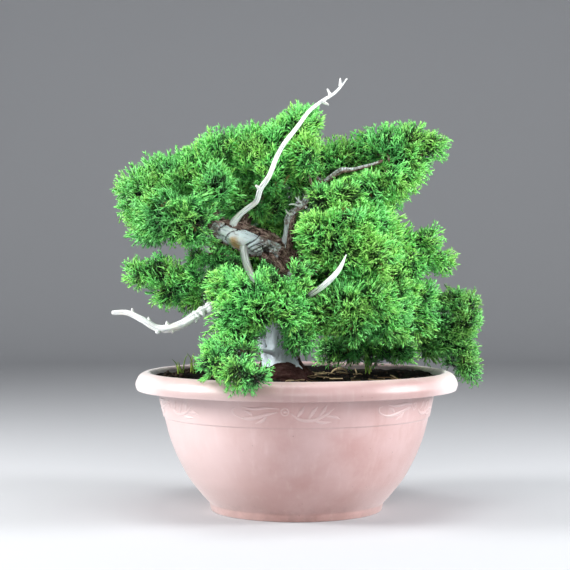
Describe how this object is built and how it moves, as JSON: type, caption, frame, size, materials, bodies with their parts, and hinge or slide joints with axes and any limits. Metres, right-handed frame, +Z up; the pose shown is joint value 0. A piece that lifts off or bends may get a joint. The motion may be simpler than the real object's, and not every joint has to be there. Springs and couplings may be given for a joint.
{
  "type": "itoigawa juniper bonsai",
  "caption": "Wind-swept juniper bonsai with dense scale foliage, bleached deadwood jins and a bent trunk, growing in a round wide-rimmed bowl of soil.",
  "frame": {"origin": "centre of the bowl's foot, on the surface it stands on", "axes": "+Z up; -Y towards the tree's front, as seen in the picture; +X to the right as seen from the front"},
  "size_m": [0.3505, 0.317, 0.3987],
  "materials": {
    "bowl": "pale terracotta pink plastic, satin with a soft sheen",
    "soil": "dark moist potting soil with straw and moss",
    "bark": "reddish-brown flaking bark with a bleached bare strip",
    "deadwood": "bleached, weathered bare wood with fine fissures",
    "foliage": "fresh green scale foliage, matt with a slight waxy sheen"
  },
  "bodies": {
    "root": {"bowl": "bowl", "soil": "soil", "trunk": "bark", "jin_apex": "deadwood", "jin_left": "deadwood", "jin_claw": "deadwood", "jin_low": "deadwood", "foliage_left": "foliage", "foliage_top": "foliage", "foliage_apex": "foliage", "foliage_upper_middle": "foliage", "foliage_upper_right": "foliage", "foliage_middle_right": "foliage", "foliage_lower_right": "foliage", "foliage_far_right": "foliage", "foliage_rear_right": "foliage", "foliage_middle_left": "foliage", "foliage_under": "foliage", "foliage_front": "foliage", "foliage_hanging": "foliage", "foliage_rear_left": "foliage", "foliage_rear_middle": "foliage"}
  },
  "joints": []
}
